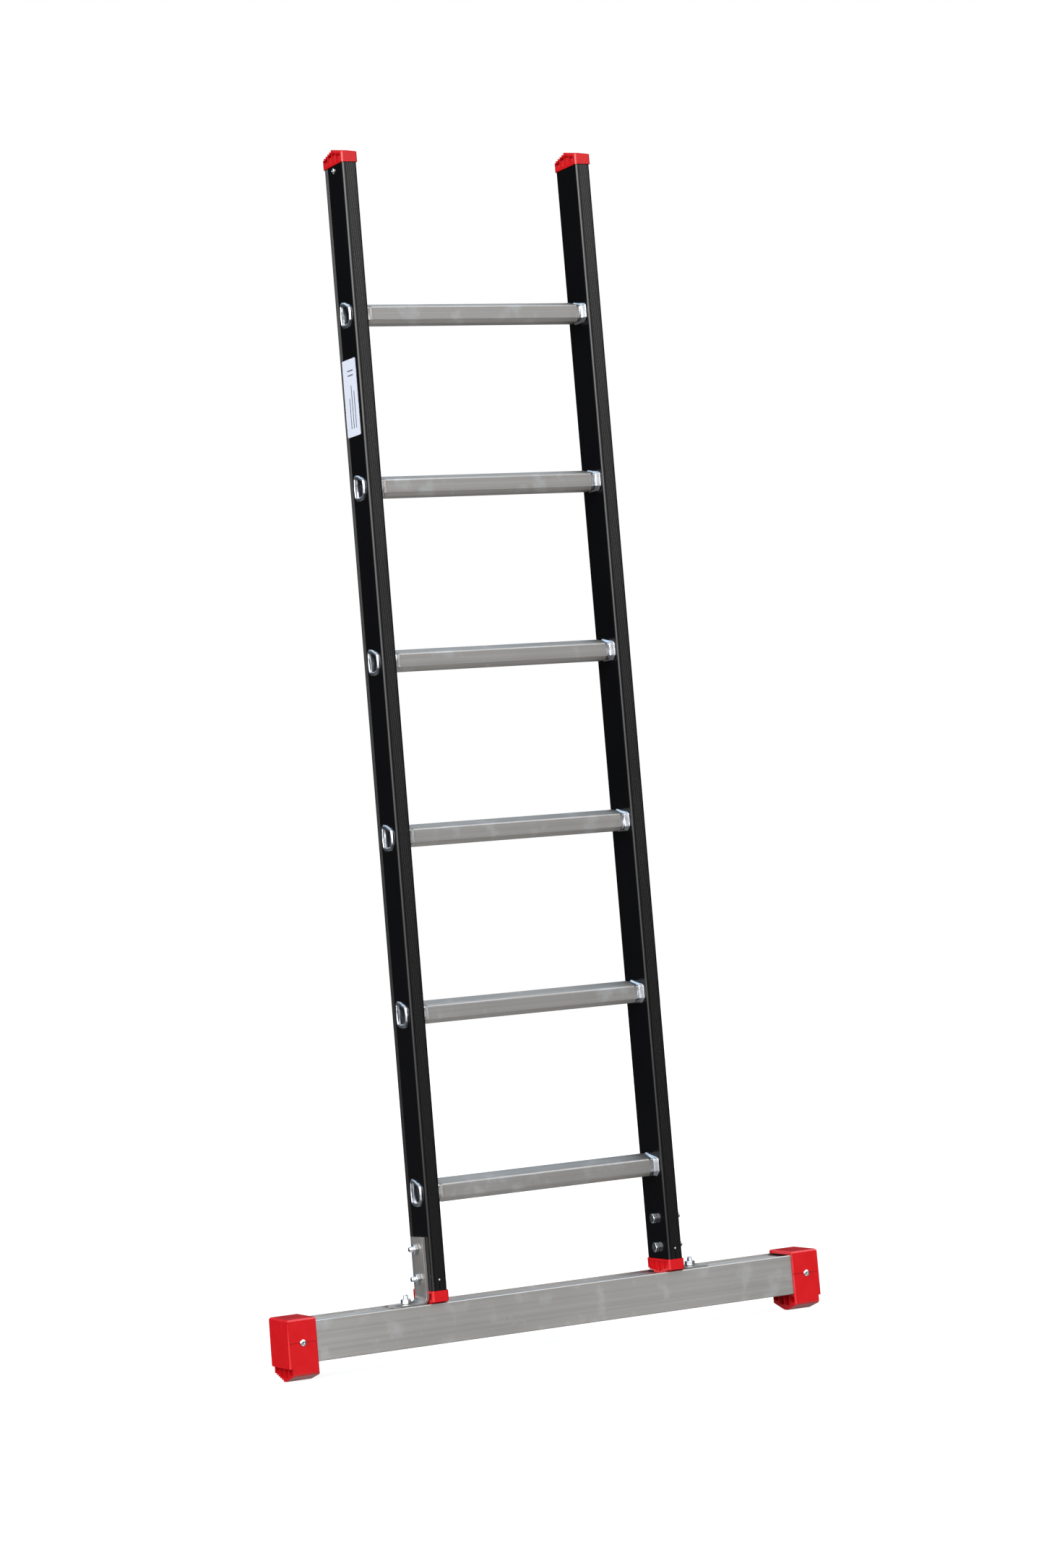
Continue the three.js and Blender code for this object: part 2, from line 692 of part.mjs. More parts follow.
function footRivet(side) {
  const front = -FOOT_DEPTH / 2;
  const length = FOOT_DEPTH / 2 - BAR_DEPTH / 2 + BAR_WALL + 1;
  const body = rivet(FOOT_RIVET, length).rotate([90, 0, 0]);
  return body.translate([side * FOOT_CENTRE, front - GAP, FOOT_RIVET_HEIGHT]);
}

// ---------------------------------------------------------------- brackets

// A bent strip: its leg lies against the stile's outer side and its foot in the bar's channel.
function bracketRight() {
  const x0 = STILE_OUTER + GAP;
  const x1 = STILE_OUTER + BRACKET_REACH;
  const z0 = CHANNEL_FLOOR + GAP;
  const outer = BRACKET_BEND;
  const inner = BRACKET_BEND - BRACKET_THICKNESS;
  const centre = [x0 + outer, z0 + outer];
  const quarter = Math.PI / 2;
  const shape = new THREE.Shape();
  shape.moveTo(x0, BRACKET_TOP);
  shape.lineTo(x0, centre[1]);
  shape.absarc(centre[0], centre[1], outer, 2 * quarter, 3 * quarter, false);
  shape.lineTo(x1, z0);
  shape.lineTo(x1, z0 + BRACKET_THICKNESS);
  shape.absarc(centre[0], centre[1], inner, 3 * quarter, 2 * quarter, true);
  shape.lineTo(x0 + BRACKET_THICKNESS, BRACKET_TOP);
  shape.closePath();
  const half = BRACKET_WIDTH / 2;
  let body = prism(shape, 'y', -half, half, 6);
  for (const height of Object.values(STILE_BOLT_HEIGHTS)) {
    body = body.subtract(rod('x', [0, height], HOLE_RADIUS, x0 - 1, x0 + BRACKET_THICKNESS + 1));
  }
  return body.subtract(rod('z', [BAR_BOLT_X, 0], HOLE_RADIUS, z0 - 1, z0 + BRACKET_THICKNESS + 1));
}

function bracket(side) {
  return side > 0 ? bracketRight() : bracketRight().mirror([1, 0, 0]);
}

// ---------------------------------------------------------------- bolts and nuts

// A hexagon with its corners turned down, from height 0 up.
function hexagon(height, crowned) {
  const corner = HEX_FLATS / Math.sqrt(3);
  const flat = HEX_FLATS / 2;
  const cone = 0.6;
  const prismGeometry = new THREE.CylinderGeometry(corner, corner, height, 6);
  prismGeometry.rotateX(Math.PI / 2);
  prismGeometry.translate(0, 0, height / 2);
  const low = crowned === 'both' ? [[flat, 0], [corner, cone]] : [[corner, 0]];
  const blank = turned([[0, 0], ...low, [corner, height - cone], [flat, height], [0, height]]);
  return solid(prismGeometry).intersect(blank);
}

// A bolt along +z: the head below height 0, the shank above it with a pointed end.
function bolt(length) {
  const head = hexagon(HEAD_HEIGHT, 'end').rotate([180, 0, 0]);
  const point = 1.2;
  const shank = turned([
    [0, -1],
    [BOLT_RADIUS, -1],
    [BOLT_RADIUS, length - point],
    [BOLT_RADIUS - point, length],
    [0, length],
  ]);
  return head.add(shank);
}

function nut() {
  return hexagon(NUT_HEIGHT, 'both').subtract(rod('z', [0, 0], HOLE_RADIUS, -1, NUT_HEIGHT + 1));
}

const NUT_FACE = STILE_OUTER + GAP + BRACKET_THICKNESS + GAP;
const BOLT_STICK_OUT = 6;

function stileBolt(side, height) {
  const start = STILE_INNER - GAP;
  const length = NUT_FACE + NUT_HEIGHT + BOLT_STICK_OUT - start;
  return bolt(length).rotate([0, side * 90, 0]).translate([side * start, 0, height]);
}

function stileNut(side, height) {
  return nut().rotate([0, side * 90, 0]).translate([side * NUT_FACE, 0, height]);
}

// The bar's bolts hang head down inside the bar, under the channel.
function barBolt(side) {
  const start = CHANNEL_FLOOR - BAR_WALL - GAP;
  const length = BRACKET_FOOT_TOP + GAP + NUT_HEIGHT + BOLT_STICK_OUT - start;
  return bolt(length).translate([side * BAR_BOLT_X, 0, start]);
}

function barNut(side) {
  return nut().translate([side * BAR_BOLT_X, 0, BRACKET_FOOT_TOP + GAP]);
}

// ---------------------------------------------------------------- label

// A plain film on the outer side of the left stile.
function label() {
  const outline = rectangle(
    -LABEL_WIDTH / 2,
    LABEL_CENTRE - LABEL_HEIGHT / 2,
    LABEL_WIDTH / 2,
    LABEL_CENTRE + LABEL_HEIGHT / 2,
    2,
  );
  const face = -STILE_OUTER - GAP;
  return prism(outline, 'x', face - 0.3, face, 3);
}

// ---------------------------------------------------------------- assembly

for (const [name, side] of Object.entries(SIDES)) {
  add(`stile_${name}`, stile(side), BLACK_COAT);
  add(`top_cap_${name}`, topCap(side), RED_PLASTIC);
  add(`bottom_cap_${name}`, bottomCap(side), RED_PLASTIC);
  add(`top_cap_rivet_${name}`, topCapRivet(side), ZINC);
  add(`bottom_cap_rivet_${name}`, frontRivet(side), ZINC);
  add(`bracket_${name}`, bracket(side), MILL_ALUMINIUM);
  for (const [place, height] of Object.entries(STILE_BOLT_HEIGHTS)) {
    add(`stile_bolt_${name}_${place}`, stileBolt(side, height), ZINC);
    add(`stile_nut_${name}_${place}`, stileNut(side, height), ZINC);
  }
  add(`bar_bolt_${name}`, barBolt(side), ZINC);
  add(`bar_nut_${name}`, barNut(side), ZINC);
  add(`foot_${name}`, foot(side), RED_PLASTIC);
  add(`foot_rivet_${name}`, footRivet(side), ZINC);
}

rungHeights().forEach((height, i) => {
  add(`rung_${i + 1}`, rungTube().translate([0, 0, height]), MILL_ALUMINIUM);
});

add('stabiliser_bar', stabiliserBar(), MILL_ALUMINIUM);
add('rating_label', label(), LABEL_FILM);

export default ladder;
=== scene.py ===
"""Looks of a single-section ladder with a bolted stabiliser bar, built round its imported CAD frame.

Metres, +Z up, in the CAD's own frame: X across the ladder, -Y towards the person who climbs it.
Every piece keeps its vertices in that frame and its object at the origin, so a material's object
coordinates are the frame's coordinates.
"""

import math

import bmesh
import bpy
from mathutils import Matrix, Vector, noise as dents


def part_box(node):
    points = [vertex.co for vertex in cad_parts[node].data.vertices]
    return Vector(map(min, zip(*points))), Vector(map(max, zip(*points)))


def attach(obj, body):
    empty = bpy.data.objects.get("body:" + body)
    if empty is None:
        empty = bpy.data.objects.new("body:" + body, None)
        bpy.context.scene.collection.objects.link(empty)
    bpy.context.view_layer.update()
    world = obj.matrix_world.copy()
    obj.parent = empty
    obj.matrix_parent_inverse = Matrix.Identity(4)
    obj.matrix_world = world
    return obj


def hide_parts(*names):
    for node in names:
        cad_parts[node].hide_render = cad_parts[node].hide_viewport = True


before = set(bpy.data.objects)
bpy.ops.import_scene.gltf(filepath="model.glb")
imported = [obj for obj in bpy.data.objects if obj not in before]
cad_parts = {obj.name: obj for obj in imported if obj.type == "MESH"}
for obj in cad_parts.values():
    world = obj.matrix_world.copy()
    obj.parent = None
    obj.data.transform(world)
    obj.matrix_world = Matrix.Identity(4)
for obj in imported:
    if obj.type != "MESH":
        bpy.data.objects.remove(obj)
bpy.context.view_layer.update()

MM = 0.001
BODY = "root"
SIDES = {"left": -1, "right": 1}
PLACES = ("lower", "upper")
RUNGS = 6


# ---------------------------------------------------------------- shader tools


def new_material(name):
    """A node material and its Principled shader."""
    material = bpy.data.materials.new(name)
    material.use_nodes = True
    return material, material.node_tree.nodes["Principled BSDF"]


def add_node(material, kind, settings=None, **inputs):
    """A shader node with settings and inputs, given as values or as sockets to link."""
    tree = material.node_tree
    node = tree.nodes.new(kind)
    for key, value in (settings or {}).items():
        setattr(node, key, value)
    for key, value in inputs.items():
        socket = node.inputs[int(key[1:])] if key[0] == "_" else node.inputs[key.replace("_", " ")]
        if isinstance(value, bpy.types.NodeSocket):
            tree.links.new(value, socket)
        else:
            socket.default_value = value
    return node


def place(material, scale=(1, 1, 1)):
    """The frame's coordinates in metres, scaled along each axis."""
    coordinates = add_node(material, "ShaderNodeTexCoord")
    mapping = add_node(material, "ShaderNodeMapping", Vector=coordinates.outputs["Object"], Scale=scale)
    return mapping.outputs["Vector"]


def noise(material, vector, scale, detail=3.0, roughness=0.5):
    """Smooth noise from 0 to 1, mostly near 0.5."""
    texture = add_node(
        material, "ShaderNodeTexNoise", Vector=vector, Scale=scale, Detail=detail, Roughness=roughness
    )
    return texture.outputs["Fac"]


def ramp(material, value, low, high, start, end):
    """value from low..high mapped to start..end and held there."""
    mapped = add_node(
        material, "ShaderNodeMapRange", Value=value, From_Min=low, From_Max=high, To_Min=start, To_Max=end
    )
    return mapped.outputs["Result"]


def blend_colours(material, factor, first, second):
    """first at factor 0, second at factor 1."""
    mix = add_node(material, "ShaderNodeMix", {"data_type": "RGBA"})
    tree = material.node_tree
    for socket, value in ((mix.inputs[0], factor), (mix.inputs[6], first), (mix.inputs[7], second)):
        if isinstance(value, bpy.types.NodeSocket):
            tree.links.new(value, socket)
        else:
            socket.default_value = value
    return mix.outputs[2]


def combine(material, operation, first, second):
    """Two values joined by a maths node."""
    node = add_node(material, "ShaderNodeMath", {"operation": operation}, _0=first, _1=second)
    return node.outputs[0]


def link(material, output, shader_input):
    material.node_tree.links.new(output, shader_input)


def bump(material, shader, height, distance, strength):
    """Fine relief in the shading, distance metres deep."""
    node = add_node(material, "ShaderNodeBump", Height=height, Distance=distance, Strength=strength)
    link(material, node.outputs["Normal"], shader.inputs["Normal"])


# ---------------------------------------------------------------- materials


def black_coat():
    """Smooth black coat on an extrusion: faint lines along Z, with a few dull patches."""
    material, shader = new_material("black_coat")
    lines = noise(material, place(material, (900, 900, 3)), 1.0, 4)
    patches = noise(material, place(material), 9.0, 4)
    dust = ramp(material, noise(material, place(material), 420.0, 2), 0.66, 0.74, 0, 1)
    base = blend_colours(material, patches, (0.0008, 0.0009, 0.0014, 1), (0.0016, 0.0016, 0.002, 1))
    speckled = blend_colours(material, dust, base, (0.006, 0.006, 0.006, 1))
    link(material, speckled, shader.inputs["Base Color"])
    link(material, ramp(material, patches, 0.3, 0.7, 0.16, 0.22), shader.inputs["Roughness"])
    shader.inputs["Specular IOR Level"].default_value = 0.5
    bump(material, shader, lines, 0.00002, 0.15)
    return material


def aluminium(name, stretch, tangent_axis, tone=1.0):
    """Bare metal with draw lines. stretch is how fast the pattern runs along X, Y and Z.

    Light spreads across the lines, which is round the tangent's axis."""
    material, shader = new_material(name)
    fine = noise(material, place(material, tuple(900 * s for s in stretch)), 1.0, 5, 0.6)
    bands = noise(material, place(material, tuple(160 * s for s in stretch)), 1.0, 3, 0.6)
    smudges = noise(material, place(material), 28.0, 4, 0.55)
    clouds = noise(material, place(material), 7.0, 2, 0.5)
    dark = (0.335 * tone, 0.325 * tone, 0.315 * tone, 1)
    light = (0.42 * tone, 0.41 * tone, 0.40 * tone, 1)
    base = blend_colours(material, ramp(material, bands, 0.3, 0.7, 0, 1), dark, light)
    veil = ramp(material, smudges, 0.54, 0.68, 0, 0.6)
    base = blend_colours(material, veil, base, (0.48 * tone, 0.49 * tone, 0.51 * tone, 1))
    link(material, base, shader.inputs["Base Color"])
    shader.inputs["Metallic"].default_value = 1.0
    streaky = ramp(material, fine, 0.3, 0.7, 0.42, 0.50)
    cloudy = ramp(material, clouds, 0.35, 0.65, -0.04, 0.06)
    link(material, combine(material, "ADD", streaky, cloudy), shader.inputs["Roughness"])
    shader.inputs["Anisotropic"].default_value = 0.7
    across = add_node(material, "ShaderNodeTangent", {"direction_type": "RADIAL", "axis": tangent_axis})
    link(material, across.outputs["Tangent"], shader.inputs["Tangent"])
    bump(material, shader, fine, 0.00003, 0.4)
    return material


def pressed_aluminium():
    """Metal burnished by the press that formed it, with small creases, and painted shade on faces that look
    down.
    """
    material, shader = new_material("aluminium_pressed")
    creases = noise(material, place(material), 200.0, 2, 0.45)
    grain = noise(material, place(material), 900.0, 2)
    base = blend_colours(material, grain, (0.50, 0.53, 0.58, 1), (0.62, 0.65, 0.70, 1))
    # Painted shade: faces that look down are darkened towards near black, as if in shade.
    facing = add_node(material, "ShaderNodeNewGeometry").outputs["Normal"]
    upward = add_node(material, "ShaderNodeSeparateXYZ", Vector=facing).outputs["Z"]
    painted_shade_below = ramp(material, upward, -0.6, -0.2, 0.85, 0)
    base_with_painted_shade = blend_colours(material, painted_shade_below, base, (0.06, 0.06, 0.07, 1))
    link(material, base_with_painted_shade, shader.inputs["Base Color"])
    shader.inputs["Metallic"].default_value = 1.0
    link(material, ramp(material, grain, 0.3, 0.7, 0.28, 0.36), shader.inputs["Roughness"])
    bump(material, shader, creases, 0.0006, 0.4)
    return material


def red_plastic():
    """Moulded plastic with a faint orange-peel skin."""
    material, shader = new_material("red_plastic")
    patches = noise(material, place(material), 60.0, 3)
    skin = noise(material, place(material), 1500.0, 2)
    base = blend_colours(material, patches, (0.40, 0.003, 0.006, 1), (0.47, 0.005, 0.008, 1))
    link(material, base, shader.inputs["Base Color"])
    link(material, ramp(material, patches, 0.3, 0.7, 0.22, 0.28), shader.inputs["Roughness"])
    shader.inputs["Specular IOR Level"].default_value = 0.5
    shader.inputs["Subsurface Weight"].default_value = 0.05
    shader.inputs["Subsurface Radius"].default_value = (0.004, 0.0008, 0.0006)
    bump(material, shader, skin, 0.00003, 0.4)
    return material


def zinc():
    """Bright zinc plating with a slightly mottled surface."""
    material, shader = new_material("zinc")
    mottle = noise(material, place(material), 700.0, 3)
    base = blend_colours(material, mottle, (0.62, 0.66, 0.70, 1), (0.80, 0.83, 0.87, 1))
    link(material, base, shader.inputs["Base Color"])
    shader.inputs["Metallic"].default_value = 1.0
    link(material, ramp(material, mottle, 0.3, 0.7, 0.18, 0.34), shader.inputs["Roughness"])
    bump(material, shader, mottle, 0.00004, 0.4)
    return material


def between(material, value, start, end):
    """1 where value lies between start and end, 0 outside, with a soft edge."""
    soft = 0.2 * MM
    rise = ramp(material, value, start, start + soft, 0, 1)
    fall = ramp(material, value, end - soft, end, 1, 0)
    return combine(material, "MULTIPLY", rise, fall)


# Plain grey lines on the label, as shares of its width (start, end) and of its height (start, end).
LABEL_LINES = (
    ((0.24, 0.30), (0.10, 0.58)),
    ((0.42, 0.48), (0.10, 0.66)),
    ((0.60, 0.66), (0.10, 0.50)),
    ((0.24, 0.66), (0.78, 0.80)),
    ((0.24, 0.66), (0.84, 0.86)),
)


def film(node):
    """White film printed with a few plain grey lines."""
    material, shader = new_material("label_film")
    fibres = noise(material, place(material), 240.0, 3)
    colour = blend_colours(material, fibres, (0.475, 0.51, 0.60, 1), (0.53, 0.57, 0.66, 1))
    spot = add_node(material, "ShaderNodeSeparateXYZ", Vector=place(material))
    low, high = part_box(node)
    size = high - low
    for (left, right), (bottom, top) in LABEL_LINES:
        across = between(material, spot.outputs["Y"], low.y + left * size.y, low.y + right * size.y)
        along = between(material, spot.outputs["Z"], low.z + bottom * size.z, low.z + top * size.z)
        ink = combine(material, "MULTIPLY", across, along)
        colour = blend_colours(material, ink, colour, (0.10, 0.11, 0.13, 1))
    link(material, colour, shader.inputs["Base Color"])
    link(material, ramp(material, fibres, 0.3, 0.7, 0.35, 0.5), shader.inputs["Roughness"])
    return material


def painted_hole_shade():
    """Painted shade for the inside of a rivet's hollow head: a near-black floor standing in for the shade
    down the hole.
    """
    material, shader = new_material("rivet_hole_painted_shade")
    shade_mottle = noise(material, place(material), 900.0, 2)
    base = blend_colours(material, shade_mottle, (0.01, 0.01, 0.01, 1), (0.03, 0.03, 0.03, 1))
    link(material, base, shader.inputs["Base Color"])
    shader.inputs["Roughness"].default_value = 0.6
    return material


BLACK = black_coat()
ALONG_X = aluminium("aluminium_along_x", (0.004, 1, 1), "X", 0.86)
BAR_METAL = aluminium("aluminium_bar", (0.003, 1, 1), "X", 1.05)
STRIP_METAL = aluminium("aluminium_strip", (0.01, 1, 0.01), "Z", 0.86)
PRESSED = pressed_aluminium()
RED = red_plastic()
ZINC = zinc()
FILM = film("rating_label")
HOLE_SHADE = painted_hole_shade()


# ---------------------------------------------------------------- mesh tools


def finish_piece(name, bm, materials, nodes, smooth_angle=40):
    """Turns a bmesh into a named object that rides on the ladder and stands for its CAD nodes."""
    bmesh.ops.recalc_face_normals(bm, faces=bm.faces)
    mesh = bpy.data.meshes.new(name)
    bm.to_mesh(mesh)
    bm.free()
    for material in materials:
        mesh.materials.append(material)
    mesh.shade_smooth()
    mesh.set_sharp_from_angle(angle=math.radians(smooth_angle))
    piece = bpy.data.objects.new(name, mesh)
    bpy.context.scene.collection.objects.link(piece)
    weighted = piece.modifiers.new("weighted_normals", "WEIGHTED_NORMAL")
    weighted.keep_sharp = True
    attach(piece, BODY)
    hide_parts(*nodes)
    return piece


def refined(node, material, width, segments=2, sharp=35, chosen=None):
    """The CAD node's own shape with its flat faces joined and its sharp edges rounded.

    chosen, if given, says which edges to round."""
    bm = bmesh.new()
    bm.from_mesh(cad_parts[node].data)
    bmesh.ops.remove_doubles(bm, verts=bm.verts, dist=1e-6)
    bmesh.ops.dissolve_limit(bm, angle_limit=math.radians(0.5), verts=bm.verts, edges=bm.edges)
    edges = [
        e for e in bm.edges
        if len(e.link_faces) == 2 and e.calc_face_angle() > math.radians(sharp)
        and (chosen is None or chosen(e))
    ]
    if width:
        bmesh.ops.bevel(
            bm, geom=edges, offset=width, segments=segments, profile=0.5, affect="EDGES",
            clamp_overlap=True, loop_slide=True,
        )
    for face in bm.faces:
        face.material_index = 0
    return finish_piece(node + "_visual", bm, [material], [node])


def is_rib_crest(edge):
    """Whether an edge is convex and runs a long way upright."""
    along = edge.verts[1].co - edge.verts[0].co
    return edge.is_convex and abs(along.z) > 30 * MM and abs(along.normalized().z) > 0.999


def sweep(bm, rings, closed=True, cap_ends=False):
    """Joins rings of points into a skin. closed joins the last ring to the first."""
    made = [[bm.verts.new(p) for p in ring] for ring in rings]
    pairs = list(zip(made, made[1:]))
    if closed:
        pairs.append((made[-1], made[0]))
    for a, b in pairs:
        count = len(a)
        for i in range(count):
            j = (i + 1) % count
            bm.faces.new((a[i], a[j], b[j], b[i]))
    if cap_ends:
        bm.faces.new(made[0][::-1])
        bm.faces.new(made[-1])
    return made


# ---------------------------------------------------------------- rungs


def rounded_outline(corners, flat_steps=5):
    """A convex outline in Y and Z with rounded corners, as a function of how far it is grown.

    Corners run anticlockwise, each as (y, z, radius, arc steps)."""
    arcs = []
    for i, (y, z, radius, steps) in enumerate(corners):
        here = Vector((y, z))
        before = Vector(corners[i - 1][:2])
        after = Vector(corners[(i + 1) % len(corners)][:2])
        arriving = (here - before).normalized()
        leaving = (after - here).normalized()
        start = math.atan2(-arriving.x, arriving.y)
        turn = (math.atan2(-leaving.x, leaving.y) - start) % (2 * math.pi)
        inward = (leaving - arriving).normalized()
        centre = here + inward * (radius / math.cos(turn / 2))
        arcs.append((centre, radius, start, turn, steps))

    def outline(offset):
        rounded = []
        for centre, radius, start, turn, steps in arcs:
            reach = radius + offset
            angles = [start + turn * step / steps for step in range(steps + 1)]
            rounded.append([centre + Vector((reach * math.cos(a), reach * math.sin(a))) for a in angles])
        points = []
        for arc, following in zip(rounded, rounded[1:] + rounded[:1]):
            points += arc
            points += [arc[-1].lerp(following[0], i / flat_steps) for i in range(1, flat_steps)]
        return points

    return outline


def smooth_stations(stations, steps):
    """Stations of (x, offset, bulge) joined by smooth steps."""
    out = [stations[0]]
    for (x0, *before), (x1, *after) in zip(stations, stations[1:]):
        for i in range(1, steps + 1):
            t = i / steps
            ease = t * t * (3 - 2 * t)
            out.append((x0 + (x1 - x0) * t, *(p + (q - p) * ease for p, q in zip(before, after))))
    return out


# Rung sizes in millimetres.
FLARE = 7.9  # how far the flared parts stand in front of the tube
ROLL = 4.1  # how far the rolled ends stand out from the tube
BACK_SHARE = 0.3  # how much of the front's flare the back has
TUBE_WALL = 1.6
STILE_GAP = 0.3
HALF_DEPTH, HALF_HEIGHT = 14.5, 16  # used to find the corners of the section


def rung_section(front, back, bottom):
    """The tube's outline: a chamfer low in front and a tread that slopes down to the front."""
    chamfer_height, chamfer_depth = 5.6, 4.6
    tread_front, tread_back = bottom + 25.1, bottom + 32.8
    return rounded_outline([
        (front, bottom + chamfer_height, 2, 3),
        (front + chamfer_depth, bottom, 2, 3),
        (back, bottom, 3, 5),
        (back, tread_back, 2.6, 5),
        (front, tread_front, 3.2, 6),
    ])


def rung_stations(inner, outer):
    """Half of a rung's skin, from its middle out through the stile and back inside the tube.

    inner and outer are the stile's two sides. Stations are (x, offset, bulge), where offset is how
    far the outline is grown and bulge how far its front is flared, and the bead's have a fourth
    value, the roundness."""
    pinch = smooth_stations(
        [
            (0, 0, 0), (inner - 24, 0, 0), (inner - 14, 0, 0), (inner - 11.5, 0.2, 0),
            (inner - 8, -0.9, 0), (inner - 4.4, -1.3, 0.7),
        ],
        4,
    )
    collar = [
        (inner - 3.4, -0.8, 1.8), (inner - 2.5, 0, 3.4), (inner - 1.8, 0.5, 5), (inner - 1.2, 0.85, 6.3),
        (inner - 0.7, 0.9, 6.8), (inner - STILE_GAP, 0.6, 6.7), (inner - STILE_GAP, 0, 0),
    ]
    bead = [(outer + STILE_GAP, 0, 0), (outer + STILE_GAP, 3.2, 0)]
    lip = [
        (0.4, 3.6), (0.8, 3.95), (1.2, 3.95), (1.7, 3.55), (2.3, 2.85), (2.8, 2.15),
        (3.1, 1.5), (3.15, 0.8), (3.0, 0.1), (2.6, -0.6), (2.0, -1.1),
    ]
    bead += [(outer + out, offset, 0, 0.09) for out, offset in lip]
    throat = smooth_stations(
        [
            (outer + 1.4, -1.3, 0), (outer - 2.5, -2.2, 0),
            (outer - 9, -TUBE_WALL, 0), (inner - 4, -TUBE_WALL, 0),
        ],
        4,
    )
    bore = [(inner - 9, -0.6 - TUBE_WALL, 0), (inner - 24, -TUBE_WALL, 0)]
    return pinch + collar + bead + throat + bore


def rung(node, number):
    """A tube flared against the stiles' inner sides and rolled over at their outer sides."""
    low, high = (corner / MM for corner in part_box(node))
    front, back, bottom = low.y + FLARE, high.y - ROLL, low.z + ROLL
    middle = (front + back) / 2
    centre_height = bottom + 14.5
    section = rung_section(front, back, bottom)
    inner, outer = (corner.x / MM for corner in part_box("stile_right"))

    def dent(x, y, z):
        """How far the pressed metal is pushed in or out at a point of the tube."""
        reach = 6
        by_collar = 1 - min(1, abs(abs(x) - (inner - 6)) / reach)
        by_bead = 1 - min(1, abs(abs(x) - (outer - 4)) / reach)
        spot = Vector((x / 5, y / 7, z / 7 + 10 * number))
        return dents.noise(spot) * (1.7 * by_collar + 2.6 * by_bead)

    def ring(x, offset, bulge, roundness=0.0):
        """The outline at one station, with its corners drawn in by the roundness."""
        points = []
        for y, z in section(offset):
            push = dent(x, y, z - bottom)
            share = 1 if y < middle else BACK_SHARE
            spread = (y - middle) * (1 + share * bulge / (back - middle))
            toward = Vector((y - middle, z - centre_height)).normalized() * push
            angle = math.atan2((z - centre_height) / HALF_HEIGHT, (y - middle) / HALF_DEPTH)
            drawn_in = 1 - roundness * math.sin(2 * angle) ** 2
            height = centre_height + (z - centre_height) * drawn_in + toward.y
            points.append(Vector((x, middle + spread * drawn_in + toward.x, height)) * MM)
        return points

    half = rung_stations(inner, outer)
    rings = [ring(*station) for station in half]
    mirrored = [ring(-x, *rest) for x, *rest in half[1:]]
    bm = bmesh.new()
    sweep(bm, rings + [ring(0, -TUBE_WALL, 0)] + mirrored[::-1])
    pressed_from = inner - 7.2
    for face in bm.faces:
        if abs(face.calc_center_median().x) > pressed_from * MM:
            face.material_index = 1
    return finish_piece(node + "_tube", bm, [ALONG_X, PRESSED], [node], 50)


# ---------------------------------------------------------------- fasteners


def lathe(profile, sides):
    """Rings of a shape turned about +Z from (radius, height) pairs, from the bottom up."""
    rings = []
    for radius, height in profile:
        rings.append([
            (
                radius * math.cos(2 * math.pi * i / sides),
                radius * math.sin(2 * math.pi * i / sides),
                height,
            )
            for i in range(sides)
        ])
    return rings


def put(rings, matrix):
    """Moves the points of some rings."""
    for ring in rings:
        for vert in ring:
            vert.co = matrix @ vert.co


def axis_matrix(direction, origin):
    """Turns +Z to a direction and moves the shape's origin, in millimetres, to a point in metres."""
    turn = Vector((0, 0, 1)).rotation_difference(Vector(direction)).to_matrix().to_4x4()
    return Matrix.Translation(origin) @ turn @ Matrix.Scale(MM, 4)


def add_turned(bm, profile, sides, matrix):
    made = sweep(bm, lathe(profile, sides), closed=False, cap_ends=True)
    put(made, matrix)


def add_hexagon(bm, flats, height, matrix, bore=0.0, both=True):
    """A hexagon whose corners are turned down at one or both ends, with or without a bore."""
    sides = 48
    steps = 4
    corner = flats / math.sqrt(3)
    end_radius = flats / 2 * 0.95
    slope = math.tan(math.radians(30))

    def ring(z, limit):
        points = []
        for i in range(sides):
            angle = 2 * math.pi * i / sides
            reach = (flats / 2) / math.cos((angle + math.pi / 6) % (math.pi / 3) - math.pi / 6)
            r = min(reach, limit)
            points.append((r * math.cos(angle), r * math.sin(angle), z))
        return points

    limits = [end_radius + (corner - end_radius) * i / steps for i in range(steps + 1)]
    if both:
        rings = [ring((limit - end_radius) * slope, limit) for limit in limits]
    else:
        rings = [ring(0, corner)]
    rings += [ring(height - (limit - end_radius) * slope, limit) for limit in limits[::-1]]
    if bore:
        chamfer = 0.7
        inside = [
            (bore + chamfer, height), (bore, height - chamfer), (bore, chamfer), (bore + chamfer, 0),
        ]
        rings += lathe(inside, sides)
    made = sweep(bm, rings, closed=bool(bore), cap_ends=not bore)
    put(made, matrix)


def add_thread(bm, radius, start, length, matrix, pitch=1.25):
    """A threaded shank: a helical ridge on a core, with a turned-down end."""
    sides = 24
    depth = 0.62
    turned_down = 1.4
    rows_per_turn = 5
    rows = int(length / pitch * rows_per_turn)
    rings = []
    for row in range(rows + 1):
        z = length * row / rows
        fade = min(1, (length - z) / turned_down)
        ring = []
        for i in range(sides):
            phase = (z / pitch - i / sides) % 1
            ridge = abs(2 * phase - 1)
            r = (radius - depth * ridge) * (0.78 + 0.22 * fade)
            angle = 2 * math.pi * i / sides
            ring.append((r * math.cos(angle), r * math.sin(angle), start + z))
        rings.append(ring)
    made = sweep(bm, rings, closed=False, cap_ends=True)
    put(made, matrix)


# Bolts, nuts and rivets, in millimetres. Rivets are head radius, head height and hole radius.
HEX_FLATS = 13
BOLT_RADIUS = 3.95
HEAD_HEIGHT = 5.3
THREAD_LENGTH = 14
NUT_BORE = 4.05
TOP_CAP_RIVET = (4.2, 1.8, 1.1)
BOTTOM_CAP_RIVET = (1.3, 0.4, 0.45)
FOOT_RIVET = (4.6, 1.6, 1.3)


def along_box(node, direction):
    """The matrix that stands a shape on one end of a node's box, and the box's length."""
    low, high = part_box(node)
    centre = (low + high) / 2
    along = Vector(direction)
    half = abs((high - low).dot(along)) / 2
    return axis_matrix(direction, centre - along * half), 2 * half / MM


